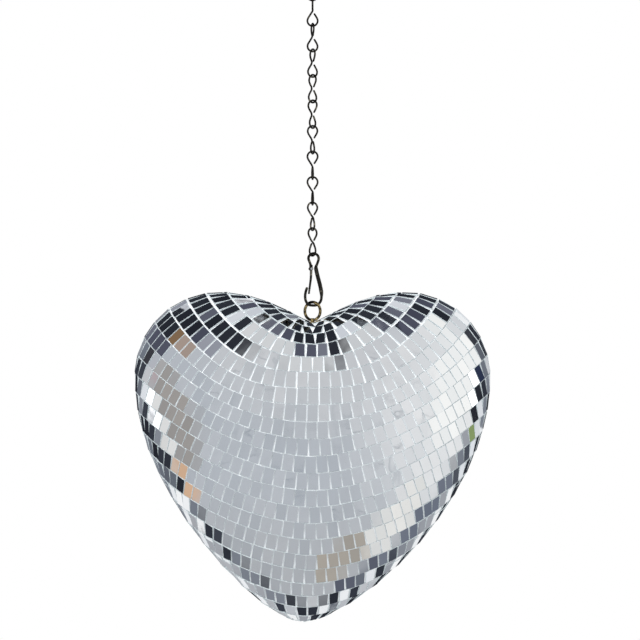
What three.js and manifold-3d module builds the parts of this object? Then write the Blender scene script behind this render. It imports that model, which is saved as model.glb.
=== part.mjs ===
// Heart-shaped mirror ball on a jack chain: ceiling plate and hook, eleven wire links,
// a sprung snap hook, a screw eye, a two-part hollow core and rings of mirror tiles.
// Millimetres. +X to the right, the heart's front faces -Y, +Z up.
// The origin is the middle of the ceiling plate's flat top face; everything hangs below it.
import * as THREE from 'three';
import { mergeVertices } from 'three/addons/utils/BufferGeometryUtils.js';
import Module from 'manifold-3d';

const wasm = await Module();
wasm.setup();

// Driving dimensions
const GAP = 0.3; // clearance between touching pieces

const HEART_HALF_WIDTH = 152.5;
const HEART_CREST = [79, 24.9]; // top of a lobe, from the bottom of the cleft
const HEART_SIDE_Z = -48; // height of the widest place
const HEART_TIP_Z = -257;
const HEART_HALF_DEPTH = 81;
const HEART_CENTRE_Z = -105; // where the heart is thickest
const TIP_LEAN = -8; // the tip is cast a little to the left
const CLEFT_HANDLES = [8, 41]; // how far each cubic curve of the outline runs straight on at its ends
const CREST_HANDLES = [41.5, 41];
const FLANK_HANDLES = [104, 38];
const PUFF_TOP = 122; // half height of the inner contours, above and below the centre
const PUFF_BOTTOM = 150;

const TILE_THICKNESS = 2.2; // glass with its bed of adhesive
const CORE_INSET = TILE_THICKNESS + GAP;
const CORE_WALL = 3.5;
const ROWS = 24;
const FIRST_ROW_START = 0.3; // the first row leaves a hole for the eye, as a part of a row
const ROW_MARGIN = 0.015; // half the gap between two rows, as a part of a row
const ROW_CROWDING = 0.068; // rows crowd towards the lobes at the edge, as a part of the outline
const ROW_SAG = 1.8; // power of a row line's curve between the edges
const LOBE_SAG = 0.9; // added where the rows pass over the lobes
const LOBE_ROWS = 0.28; // the middle of those rows, as a part of the way, and their spread
const LOBE_SPREAD = 0.1;
const NORMAL_STEP = 0.05;
const RING_STEPS = 28;
const SHELL_STEPS = RING_STEPS / 2;

const BAND_WIDTH = 10; // the strip inside that joins the two halves
const BAND_INSET = CORE_INSET + CORE_WALL + 1.9;
const BAND_WALL = 2;

const LINKS = 11;
const LINK_PITCH = 21.95;
const LINK_WIRE_R = 0.83;
const LINK_LOOP_R = 4.42; // middle of the wire
const LINK_TWIST = THREE.MathUtils.degToRad(14); // each link hangs turned on the one above
const FIRST_TWIST = THREE.MathUtils.degToRad(76);

const PLATE_R = 27;
const PLATE_T = 3;
const PLATE_HOLE_R = 2.25;
const PLATE_HOLE_X = 18;
const SINK_DEPTH = 2.4; // countersink of the plate's holes
const BOSS_R = 6;
const BOSS_DROP = 2.5;
const CEILING_WIRE_R = 2;
const CEILING_BEND_R = 9;
const FIRST_JUNCTION_Z = -28;

const HOOK_WIRE_R = 1.15;
const HOOK_SPINE_R = 1.75;
const HOOK_LENGTH = 42.15; // from the chain's bearing point to the eye's
const HOOK_YAW = THREE.MathUtils.degToRad(12);
const GATE_PIVOT = [-1.5, -11.95];
const GATE_PIN_R = 0.6;
const GATE_WIDTH = 2.6;
const GATE_THICKNESS = 0.9;
const KNUCKLE_R = 1.5;
const EAR_R = 1.6;
const EAR_T = 0.9;
const EAR_Y = 2.05;

const EYE_RING_R = 7.8;
const EYE_WIRE_R = 1.25;
const EYE_YAW = THREE.MathUtils.degToRad(-32);
const EYE_STAND_OFF = 1.2; // the ring's lower wire above the bottom of the cleft
const SHANK_R = 2;
const SHANK_END = -20; // below the bottom of the cleft
const COLLAR_R = 3.6;
const COLLAR_FOOT = -5.9;
const WASHER_R = 9;
const WASHER_T = 2;
const NUT_R = 4.4;
const NUT_T = 4.8;

// Where the row lines lie, from the cleft to the tip, as parts of the way
const ROW_LINES = [0, FIRST_ROW_START / ROWS];
for (let i = 1; i <= ROWS; i += 1) ROW_LINES.push(i / ROWS);

const lastJunctionZ = FIRST_JUNCTION_Z - LINKS * LINK_PITCH;
const eyeContactZ = lastJunctionZ - HOOK_LENGTH;
const eyeCentreZ = eyeContactZ + EYE_WIRE_R - EYE_RING_R + GAP / 2;
const cleftZ = eyeCentreZ - EYE_RING_R - EYE_STAND_OFF;

// Materials
const steel = new THREE.MeshStandardMaterial({ color: 0x4a4a46, roughness: 0.35, metalness: 1 });
const zinc = new THREE.MeshStandardMaterial({ color: 0x9a9a98, roughness: 0.4, metalness: 1 });
const brass = new THREE.MeshStandardMaterial({ color: 0xb08d4a, roughness: 0.3, metalness: 1 });
const white = new THREE.MeshStandardMaterial({ color: 0xe6e6e4, roughness: 0.7, metalness: 0 });
const mirror = new THREE.MeshStandardMaterial({ color: 0xd5dade, roughness: 0.04, metalness: 1 });

const root = new THREE.Group();

function addMesh(parent, name, geometry, material) {
  const mesh = new THREE.Mesh(geometry, material);
  mesh.name = name;
  parent.add(mesh);
  return mesh;
}

// Solids: three.js geometry to a manifold and back, for cuts and joins
function solid(geometry) {
  const bare = geometry.index ? geometry.toNonIndexed() : geometry.clone();
  bare.deleteAttribute('normal');
  bare.deleteAttribute('uv');
  const merged = mergeVertices(bare, 1e-4);
  const vertProperties = new Float32Array(merged.attributes.position.array);
  const triVerts = new Uint32Array(merged.index.array);
  return new wasm.Manifold(new wasm.Mesh({ numProp: 3, vertProperties, triVerts }));
}

function geometryOf(manifold) {
  const mesh = manifold.getMesh();
  const geometry = new THREE.BufferGeometry();
  geometry.setAttribute('position', new THREE.BufferAttribute(new Float32Array(mesh.vertProperties), 3));
  geometry.setIndex(new THREE.BufferAttribute(new Uint32Array(mesh.triVerts), 1));
  geometry.computeVertexNormals();
  return geometry;
}

function cylinder(radius, height, sides = 24, radiusTop = radius) {
  return new THREE.CylinderGeometry(radiusTop, radius, height, sides).rotateX(Math.PI / 2);
}

// A round wire of the given radius swept along a curve
function wire(curve, radius, steps, sides) {
  const section = new THREE.Shape();
  for (let i = 0; i < sides; i += 1) {
    const a = (2 * Math.PI * i) / sides;
    const draw = i === 0 ? 'moveTo' : 'lineTo';
    section[draw](radius * Math.cos(a), radius * Math.sin(a));
  }
  return new THREE.ExtrudeGeometry(section, { steps, extrudePath: curve, bevelEnabled: false });
}

function smoothCurve(points) {
  return new THREE.CatmullRomCurve3(points.map((p) => new THREE.Vector3(...p)), false, 'centripetal');
}

// The heart's surface.
// Half of its outline, from the cleft over a lobe to the tip, as three cubic curves
const half = new THREE.CurvePath();
function addCubic(...points) {
  half.add(new THREE.CubicBezierCurve(...points.map((p) => new THREE.Vector2(...p))));
}
const [crestX, crestZ] = HEART_CREST;
addCubic([0, 0], [CLEFT_HANDLES[0], 0], [crestX - CLEFT_HANDLES[1], crestZ], HEART_CREST);
const side = [HEART_HALF_WIDTH, HEART_SIDE_Z];
addCubic(HEART_CREST, [crestX + CREST_HANDLES[0], crestZ], [side[0], HEART_SIDE_Z + CREST_HANDLES[1]], side);
addCubic(side, [side[0], HEART_SIDE_Z - FLANK_HANDLES[0]], [FLANK_HANDLES[1], HEART_TIP_Z], [0, HEART_TIP_Z]);
half.curves.forEach((curve) => { curve.arcLengthDivisions = 400; });

// Distance from the heart's centre to the outline, by angle
const OUTLINE_SAMPLES = 1200;
const outline = [];
for (let i = 0; i <= OUTLINE_SAMPLES; i += 1) {
  const p = half.getPointAt(i / OUTLINE_SAMPLES);
  const up = p.y - HEART_CENTRE_Z;
  outline.push({ angle: Math.atan2(up, p.x), radius: Math.hypot(p.x, up) });
}

function outlineRadius(angle) {
  let low = 0;
  let high = OUTLINE_SAMPLES;
  while (high - low > 1) {
    const middle = (low + high) >> 1;
    if (outline[middle].angle > angle) low = middle;
    else high = middle;
  }
  const a = outline[low];
  const b = outline[high];
  const f = THREE.MathUtils.clamp((angle - a.angle) / (b.angle - a.angle), 0, 1);
  return a.radius + f * (b.radius - a.radius);
}

// 0 at the thickest place, 1 on the outline. Inner contours are ovals, outer ones hearts
function contour(x, z) {
  const dz = z - HEART_CENTRE_Z;
  const r = Math.hypot(x, dz);
  if (r < 1e-9) return 0;
  const angle = Math.atan2(dz, Math.abs(x));
  const puff = dz > 0 ? PUFF_TOP : PUFF_BOTTOM;
  const oval = (HEART_HALF_WIDTH * puff)
    / Math.hypot(puff * Math.cos(angle), HEART_HALF_WIDTH * Math.sin(angle));
  const edge = outlineRadius(angle);
  let t = r / edge;
  for (let i = 0; i < 12; i += 1) {
    const f = t * (oval + (edge - oval) * t * t) - r;
    t -= f / (oval + 3 * (edge - oval) * t * t);
  }
  return t;
}

function depthAt(x, z) {
  return HEART_HALF_DEPTH * Math.sqrt(Math.max(0, 1 - contour(x, z) ** 2));
}

function leanAt(z) {
  return TIP_LEAN * Math.max(0, z / HEART_TIP_Z) ** 6;
}

// Heights down the front's middle line, for equal steps along the surface
const MIDDLE_SAMPLES = 2000;
const middle = [{ z: 0, s: 0 }];
for (let i = 1; i <= MIDDLE_SAMPLES; i += 1) {
  const z = (HEART_TIP_Z * (1 - Math.cos((Math.PI * i) / MIDDLE_SAMPLES))) / 2;
  const before = middle[i - 1];
  middle.push({ z, s: before.s + Math.hypot(z - before.z, depthAt(0, z) - depthAt(0, before.z)) });
}
const middleLength = middle[MIDDLE_SAMPLES].s;

function middleHeight(fraction) {
  const s = fraction * middleLength;
  const i = Math.max(1, middle.findIndex((m) => m.s >= s));
  const a = middle[i - 1];
  const b = middle[i];
  return a.z + ((b.z - a.z) * (s - a.s)) / (b.s - a.s);
}

// A row line runs as a ring from the cleft (fraction 0) to the tip (fraction 1).
// turn is the angle round the ring: -90 degrees is the left edge, 0 the front, 90 the right edge
function surfacePoint(fraction, turn, inset) {
  const c = THREE.MathUtils.clamp(fraction, 0, 1);
  const end = half.getPointAt(c - ROW_CROWDING * Math.sin(Math.PI * c ** 1.5) ** 2);
  const low = c >= 1 ? HEART_TIP_Z : middleHeight(c);
  const bend = ROW_SAG + LOBE_SAG * Math.exp(-(((c - LOBE_ROWS) / LOBE_SPREAD) ** 2));
  const u = Math.sin(turn);
  const x = end.x * u;
  const z = low + (end.y - low) * Math.abs(u) ** bend;
  const edge = Math.abs(Math.cos(turn)) < 1e-9;
  const y = edge ? 0 : -Math.sign(Math.cos(turn)) * depthAt(x, z);
  const e = NORMAL_STEP;
  const t = contour(x, z);
  const normal = new THREE.Vector3(
    (t * (contour(x + e, z) - contour(x - e, z))) / (2 * e),
    y / HEART_HALF_DEPTH ** 2,
    (t * (contour(x, z + e) - contour(x, z - e))) / (2 * e),
  ).normalize();
  const p = new THREE.Vector3(x, y, z).addScaledVector(normal, -inset);
  p.x += leanAt(z);
  return p;
}

function bufferOf(points, triangles) {
  const geometry = new THREE.BufferGeometry();
  geometry.setAttribute('position', new THREE.Float32BufferAttribute(points.flatMap((p) => p.toArray()), 3));
  geometry.setIndex(triangles.flat());
  geometry.computeVertexNormals();
  return geometry;
}

// A closed ring swept through a list of four-cornered sections
function ringGeometry(sections) {
  const triangles = [];
  sections.forEach((section, j) => {
    const a = 4 * j;
    const b = 4 * ((j + 1) % sections.length);
    for (let k = 0; k < 4; k += 1) {
      const n = (k + 1) % 4;
      // The inner face is split along the same diagonal as the outer one
      if (k < 2) triangles.push([a + k, a + n, b + n], [a + k, b + n, b + k]);
      else triangles.push([a + k, a + n, b + k], [a + n, b + n, b + k]);
    }
  });
  return bufferOf(sections.flat(), triangles);
}

// One ring of tiles between two row lines
function rowGeometry(from, to) {
  const sections = [];
  for (let j = 0; j < RING_STEPS; j += 1) {
    const turn = (2 * Math.PI * j) / RING_STEPS - Math.PI / 2;
    sections.push([surfacePoint(from, turn, 0), surfacePoint(to, turn, 0),
      surfacePoint(to, turn, TILE_THICKNESS), surfacePoint(from, turn, TILE_THICKNESS)]);
  }
  return ringGeometry(sections);
}

// The tip's last piece: a small dish that closes the rings
function tipGeometry(from) {
  const points = [];
  const triangles = [];
  for (let j = 0; j < RING_STEPS; j += 1) {
    const turn = (2 * Math.PI * j) / RING_STEPS - Math.PI / 2;
    points.push(surfacePoint(from, turn, 0), surfacePoint(from, turn, TILE_THICKNESS));
  }
  const outer = points.push(surfacePoint(1, Math.PI / 2, 0)) - 1;
  const inner = points.push(surfacePoint(1, Math.PI / 2, TILE_THICKNESS)) - 1;
  for (let j = 0; j < RING_STEPS; j += 1) {
    const a = 2 * j;
    const b = 2 * ((j + 1) % RING_STEPS);
    triangles.push([a, outer, b], [a + 1, b + 1, inner], [a, b, b + 1], [a, b + 1, a + 1]);
  }
  return bufferOf(points, triangles);
}

// Half of the hollow core, open at the seam. side is 1 for the front, -1 for the rear
function shellGeometry(side) {
  const points = [];
  const triangles = [];
  const columns = SHELL_STEPS + 1;
  const last = ROW_LINES.length - 1;
  const surfaceOf = (inset) => {
    const ids = ROW_LINES.map((fraction, i) => {
      const count = i === 0 || i === last ? 1 : columns;
      return Array.from({ length: count }, (_, j) => {
        const turn = Math.PI * (count === 1 ? 0.5 : j / SHELL_STEPS - 0.5);
        const p = surfacePoint(fraction, side > 0 ? turn : turn + Math.PI, inset);
        p.y -= (side * GAP) / 2;
        return points.push(p) - 1;
      });
    });
    return (i, j) => ids[i][Math.min(j, ids[i].length - 1)];
  };
  const outer = surfaceOf(CORE_INSET);
  const inner = surfaceOf(CORE_INSET + CORE_WALL);
  const quad = (a, b, c, d) => triangles.push([a, b, c], [a, c, d]);
  for (let i = 0; i < last; i += 1) {
    for (let j = 0; j < SHELL_STEPS; j += 1) {
      quad(outer(i, j), outer(i + 1, j), outer(i + 1, j + 1), outer(i, j + 1));
      quad(inner(i, j), inner(i, j + 1), inner(i + 1, j + 1), inner(i + 1, j));
    }
    quad(outer(i, 0), inner(i, 0), inner(i + 1, 0), outer(i + 1, 0));
    quad(outer(i, SHELL_STEPS), outer(i + 1, SHELL_STEPS), inner(i + 1, SHELL_STEPS), inner(i, SHELL_STEPS));
  }
  return bufferOf(points, triangles.filter(([a, b, c]) => a !== b && b !== c && c !== a));
}

// The strip inside the seam that joins the two halves, drilled for the eye's shank
function joiningBand() {
  const corners = [[1, 0], [-1, 0], [-1, BAND_WALL], [1, BAND_WALL]];
  const section = (fraction, turn) => corners.map(([face, wall]) => {
    const p = surfacePoint(fraction, turn, BAND_INSET + wall);
    p.y = (face * BAND_WIDTH) / 2;
    return p;
  });
  const right = [];
  const left = [];
  for (let i = 0; i <= ROWS; i += 1) {
    right.push(section(i / ROWS, Math.PI / 2));
    left.push(section(i / ROWS, -Math.PI / 2));
  }
  const band = ringGeometry(right.concat(left.reverse().slice(1, -1)));
  return geometryOf(solid(band).subtract(solid(cylinder(SHANK_R + GAP, 30, 14))));
}

function drilledDisc(radius, thickness, sides) {
  const hole = cylinder(SHANK_R + GAP, thickness + 2, 14);
  return geometryOf(solid(cylinder(radius, thickness, sides)).subtract(solid(hole)));
}

function halfShell(side) {
  const hole = cylinder(COLLAR_R + GAP, 30, 16);
  return geometryOf(solid(shellGeometry(side)).subtract(solid(hole)));
}

// The screw eye. Its collar goes through the core's wall and bears on the joining band.
// z is 0 at the bottom of the cleft
function screwEye() {
  const ring = new THREE.TorusGeometry(EYE_RING_R, EYE_WIRE_R, 8, 22);
  ring.rotateX(Math.PI / 2).rotateZ(EYE_YAW).translate(0, 0, eyeCentreZ - cleftZ);
  const shankTop = EYE_STAND_OFF;
  const shank = cylinder(SHANK_R, shankTop - SHANK_END, 12).translate(0, 0, (shankTop + SHANK_END) / 2);
  const collar = cylinder(COLLAR_R, -COLLAR_FOOT, 14).translate(0, 0, COLLAR_FOOT / 2);
  return geometryOf(solid(ring).add(solid(shank)).add(solid(collar)));
}

// One figure-eight wire link, open at its waist. The upper loop is in the XZ plane
// and the lower one in the YZ plane. z is 0 at the waist
function linkCurve() {
  const top = LINK_PITCH / 2 + LINK_WIRE_R + GAP / 2;
  const loopCentre = top - LINK_LOOP_R;
  const side = [[1.3, 1.2], [2.75, 3.5], [3.95, 5.6]];
  const loop = side.map(([x, z]) => [-x, z]);
  for (let a = 180; a >= 0; a -= 30) {
    const angle = THREE.MathUtils.degToRad(a);
    loop.push([LINK_LOOP_R * Math.cos(angle), loopCentre + LINK_LOOP_R * Math.sin(angle)]);
  }
  loop.push(...side.reverse());
  const upper = loop.map(([x, z]) => [x, 0, z]);
  const lower = loop.map(([x, z]) => [0, -x, -z]);
  return smoothCurve(upper.concat(lower));
}

function addChain() {
  for (let k = 0; k < LINKS; k += 1) {
    const name = `chain_link_${String(k + 1).padStart(2, '0')}`;
    const link = addMesh(root, name, wire(linkCurve(), LINK_WIRE_R, 28, 6), steel);
    link.position.z = FIRST_JUNCTION_Z - (k + 0.5) * LINK_PITCH;
    link.rotation.z = FIRST_TWIST + k * LINK_TWIST;
  }
}

// A round plate with a boss for the hook's shank and two countersunk screw holes
function ceilingPlate() {
  const bossZ = -PLATE_T - BOSS_DROP;
  const profile = [[0, bossZ], [BOSS_R - 1, bossZ], [BOSS_R, bossZ + 1], [BOSS_R + 1, -PLATE_T],
    [PLATE_R - 1, -PLATE_T + 0.6], [PLATE_R, -PLATE_T + 1.6], [PLATE_R, 0], [0, 0]];
  const lathe = new THREE.LatheGeometry(profile.map((p) => new THREE.Vector2(...p)), 30);
  let plate = solid(lathe.rotateX(Math.PI / 2));
  const sink = cylinder(PLATE_HOLE_R + SINK_DEPTH, SINK_DEPTH, 14, PLATE_HOLE_R);
  const sinkZ = -PLATE_T + SINK_DEPTH / 4;
  for (const x of [-PLATE_HOLE_X, PLATE_HOLE_X]) {
    plate = plate.subtract(solid(cylinder(PLATE_HOLE_R, 12, 14).translate(x, 0, 0)));
    plate = plate.subtract(solid(sink.clone().translate(x, 0, sinkZ)));
  }
  const shankHole = cylinder(CEILING_WIRE_R + GAP, 10, 16).translate(0, 0, -6);
  return geometryOf(plate.subtract(solid(shankHole)));
}

function ceilingHook() {
  const centre = FIRST_JUNCTION_Z - GAP / 2 - CEILING_WIRE_R + CEILING_BEND_R;
  const points = [[0, 0, -1.3], [0, 0, -4], [0, 0, -7.5], [1.2, 0, -10.4]];
  for (let a = 60; a >= -210; a -= 30) {
    const angle = THREE.MathUtils.degToRad(a);
    points.push([CEILING_BEND_R * Math.cos(angle), 0, centre + CEILING_BEND_R * Math.sin(angle)]);
  }
  return wire(smoothCurve(points), CEILING_WIRE_R, 26, 8);
}

// The snap hook, in its own plane. z is 0 where it bears on the chain
function hookCurve() {
  const eyeR = 4.5;
  const eyeX = 0.9;
  const eyeZ = HOOK_WIRE_R + GAP / 2 - eyeR;
  const points = [[-1.4, 0, -9.6], [-2.4, 0, -6.6]];
  for (let a = 180; a >= 0; a -= 30) {
    const angle = THREE.MathUtils.degToRad(a);
    points.push([eyeX + eyeR * Math.cos(angle), 0, eyeZ + eyeR * Math.sin(angle)]);
  }
  const bow = -HOOK_LENGTH - HOOK_WIRE_R - GAP / 2;
  return smoothCurve(points.concat([[4.3, 0, -7], [3, 0, -10.4], [3.4, 0, -13.8], [5, 0, -20.2],
    [6.9, 0, -27.5], [7.9, 0, -34.5], [7.1, 0, -39.8], [4.2, 0, -42.9], [0, 0, bow], [-3.8, 0, -42.6],
    [-6, 0, -39.2], [-6.5, 0, -35.4], [-5.9, 0, -31.5], [-4.65, 0, -27.8]]));
}

function hookBody() {
  const spine = smoothCurve([[3, 0, -10.4], [3.4, 0, -13.8], [5, 0, -20.2], [6.9, 0, -27.5], [7.8, 0, -33.4]]);
  const [pivotX, pivotZ] = GATE_PIVOT;
  const bridge = new THREE.BoxGeometry(2, 2 * EAR_Y + EAR_T, 1.5).translate(pivotX + 0.1, 0, pivotZ + 2.65);
  let body = solid(wire(hookCurve(), HOOK_WIRE_R, 52, 6)).add(solid(wire(spine, HOOK_SPINE_R, 10, 8)));
  body = body.add(solid(bridge));
  for (const y of [-EAR_Y, EAR_Y]) {
    const ear = new THREE.CylinderGeometry(EAR_R, EAR_R, EAR_T, 12).translate(pivotX, y, pivotZ);
    const neck = new THREE.BoxGeometry(2, EAR_T, 2.6).translate(pivotX + 0.1, y, pivotZ + 1.3);
    body = body.add(solid(ear)).add(solid(neck));
  }
  const pinHole = new THREE.CylinderGeometry(GATE_PIN_R + GAP, GATE_PIN_R + GAP, 12, 12);
  return geometryOf(body.subtract(solid(pinHole.translate(pivotX, 0, pivotZ))));
}

function gateStrip() {
  const [pivotX, pivotZ] = GATE_PIVOT;
  const middleLine = [[pivotX, pivotZ], [-1.7, -19.9], [-2.45, -26.5], [-3.3, -33.6]];
  const thick = GATE_THICKNESS / 2;
  const left = middleLine.map(([x, z]) => new THREE.Vector2(x - thick, z));
  const right = middleLine.map(([x, z]) => new THREE.Vector2(x + thick, z)).reverse();
  const strip = new THREE.ExtrudeGeometry(new THREE.Shape(left.concat(right)),
    { depth: GATE_WIDTH, bevelEnabled: false });
  strip.rotateX(Math.PI / 2).translate(0, GATE_WIDTH / 2, 0);
  const knuckle = new THREE.CylinderGeometry(KNUCKLE_R, KNUCKLE_R, GATE_WIDTH, 12);
  knuckle.translate(pivotX, 0, pivotZ);
  const pinHole = new THREE.CylinderGeometry(GATE_PIN_R + GAP, GATE_PIN_R + GAP, 12, 12);
  pinHole.translate(pivotX, 0, pivotZ);
  return geometryOf(solid(strip).add(solid(knuckle)).subtract(solid(pinHole)));
}

function addSnapHook() {
  const hook = new THREE.Group();
  hook.position.z = lastJunctionZ;
  hook.rotation.z = HOOK_YAW;
  const [pivotX, pivotZ] = GATE_PIVOT;
  addMesh(hook, 'snap_hook_body', hookBody(), steel);
  addMesh(hook, 'snap_hook_gate', gateStrip(), steel);
  const pin = new THREE.CylinderGeometry(GATE_PIN_R, GATE_PIN_R, 2 * (EAR_Y + EAR_T / 2) + 0.6, 10);
  addMesh(hook, 'snap_hook_gate_pin', pin.translate(pivotX, 0, pivotZ), zinc);
  root.add(hook);
}

function addHeart() {
  const heart = new THREE.Group();
  heart.position.z = cleftZ;
  addMesh(heart, 'screw_eye', screwEye(), brass);
  addMesh(heart, 'core_front_shell', halfShell(1), white);
  addMesh(heart, 'core_rear_shell', halfShell(-1), white);
  addMesh(heart, 'joining_band', joiningBand(), white);
  const washerTop = -(BAND_INSET + BAND_WALL + GAP);
  const washer = addMesh(heart, 'eye_washer', drilledDisc(WASHER_R, WASHER_T, 20), zinc);
  washer.position.z = washerTop - WASHER_T / 2;
  const nut = addMesh(heart, 'eye_lock_nut', drilledDisc(NUT_R, NUT_T, 6), zinc);
  nut.position.z = washerTop - WASHER_T - GAP - NUT_T / 2;
  for (let i = 0; i < ROWS - 1; i += 1) {
    const name = `mirror_row_${String(i + 1).padStart(2, '0')}`;
    const from = (i === 0 ? FIRST_ROW_START : i + ROW_MARGIN) / ROWS;
    addMesh(heart, name, rowGeometry(from, (i + 1 - ROW_MARGIN) / ROWS), mirror);
  }
  const name = `mirror_row_${ROWS}`;
  addMesh(heart, name, tipGeometry((ROWS - 1 + ROW_MARGIN) / ROWS), mirror);
  root.add(heart);
}

addMesh(root, 'ceiling_plate', ceilingPlate(), zinc);
addMesh(root, 'ceiling_hook', ceilingHook(), zinc);
addChain();
addSnapHook();
addHeart();

export default root;
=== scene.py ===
"""Heart-shaped mirror ball on a jack chain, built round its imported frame. Its sizes are written in
millimetres and scaled by MM to the frame's metres. Camera, lights and floor are written in metres."""
import math
import random

import bmesh
import bpy
import numpy as np
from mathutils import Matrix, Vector


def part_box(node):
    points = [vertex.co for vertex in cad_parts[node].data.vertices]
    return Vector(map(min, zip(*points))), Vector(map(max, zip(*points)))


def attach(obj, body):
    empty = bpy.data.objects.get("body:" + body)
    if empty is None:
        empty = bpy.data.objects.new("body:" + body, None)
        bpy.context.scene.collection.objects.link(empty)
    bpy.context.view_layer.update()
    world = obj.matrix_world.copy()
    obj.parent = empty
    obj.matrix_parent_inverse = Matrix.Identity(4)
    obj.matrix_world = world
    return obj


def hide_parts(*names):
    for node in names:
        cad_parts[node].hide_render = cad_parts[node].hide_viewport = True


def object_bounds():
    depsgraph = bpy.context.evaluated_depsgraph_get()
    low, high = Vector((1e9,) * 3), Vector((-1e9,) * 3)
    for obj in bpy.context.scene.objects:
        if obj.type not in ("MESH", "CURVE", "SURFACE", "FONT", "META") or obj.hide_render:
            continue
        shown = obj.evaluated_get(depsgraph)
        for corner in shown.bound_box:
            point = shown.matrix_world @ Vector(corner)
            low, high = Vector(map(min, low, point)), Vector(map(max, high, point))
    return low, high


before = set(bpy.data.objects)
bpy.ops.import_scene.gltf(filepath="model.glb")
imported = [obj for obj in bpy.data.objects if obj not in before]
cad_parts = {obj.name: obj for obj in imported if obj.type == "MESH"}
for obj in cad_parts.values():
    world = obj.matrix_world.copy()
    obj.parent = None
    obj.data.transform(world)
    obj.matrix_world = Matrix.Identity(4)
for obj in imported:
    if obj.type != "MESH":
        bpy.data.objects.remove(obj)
cad_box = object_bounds()

MM = 0.001

# The heart, in millimetres from the bottom of its cleft, as in the frame
HALF_WIDTH = 152.5
CREST = (79.0, 24.9)
SIDE_Z = -48.0
TIP_Z = -257.0
HALF_DEPTH = 81.0
CENTRE_Z = -105.0
TIP_LEAN = -8.0
PUFF_TOP = 122.0
PUFF_BOTTOM = 150.0

# Half of its outline, as three curves with two handles each, and the points made on each curve
OUTLINE_CURVES = [
    ([(0, 0), (8, 0), (38, CREST[1]), CREST], 500),
    ([CREST, (120.5, CREST[1]), (HALF_WIDTH, -7), (HALF_WIDTH, SIDE_Z)], 500),
    ([(HALF_WIDTH, SIDE_Z), (HALF_WIDTH, -152), (38, TIP_Z), (0, TIP_Z)], 900),
]

# How the rows lie on it. The first starts a share of a row below the cleft. Their ends are lifted by
# a share of the outline's length. Each falls from its ends to its middle as a power of the way there,
# and the power is higher near a share of the way from cleft to tip, where the lobes are.
ROWS = 24
FIRST_ROW_HEAD = 0.3
END_LIFT = 0.068
END_LIFT_SKEW = 1.5
ROW_POWER = 1.8
LOBE_POWER = 0.9
LOBE_CENTRE = 0.28
LOBE_SPREAD = 0.1
TIP_ROW_MIDDLE = 0.55

# Mirror tiles, in millimetres, and how unevenly they are set, in degrees and millimetres
TILE_WIDTH = 8.55
TILE_HEIGHT = 13.5
TILE_THICK = 1.7
TILE_BEVEL = 0.16
TILE_GAP = 0.7
ROW_GAP = 0.4
TILE_PITCH = TILE_WIDTH + TILE_GAP
TALLEST_TILE = 15.4
WIDEST_GAP = 2.6
OPEN_ROWS = 9
OPEN_TILE_GAP = 0.45
OPEN_ROW_GAP = 0.6
LOWEST_CUT = 1.5
NARROWEST_CUT = 0.8
TIP_SPREAD = 0.8
TURN_SPREAD = 0.7
RISE_SPREAD = 0.14
SIDE_SPREAD = 0.1
PROUD_SPREAD = 0.12
BED_DEPTH = 0.85
BED_THICK = 1.3
BED_STEPS = 112

CLEFT_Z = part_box("mirror_row_24")[0].z / MM - TIP_Z


# ---------------------------------------------------------------- camera and light

def make_camera():
    """A level camera in front of the heart, at the height of its cleft."""
    distance = 1.6
    view_width = 0.55
    side_step, rise = 0.0064, 0.0014
    bpy.ops.object.camera_add(location=(side_step, -distance, CLEFT_Z * MM + rise),
                              rotation=(math.pi / 2, 0, 0))
    camera = bpy.context.object
    camera.name = "front_camera"
    camera.data.sensor_width = 36
    camera.data.lens = camera.data.sensor_width * distance / view_width
    camera.data.clip_end = 60
    bpy.context.scene.camera = camera
    bpy.context.scene.view_settings.view_transform = "Standard"


def link_nodes(tree, pairs):
    for source, target in pairs:
        tree.links.new(source, target)


def heading(azimuth, elevation):
    """A direction in degrees: azimuth 0 is out of the heart's front and 90 towards +X."""
    a, e = math.radians(azimuth), math.radians(elevation)
    return Vector((math.sin(a) * math.cos(e), -math.cos(a) * math.cos(e), math.sin(e)))


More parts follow.
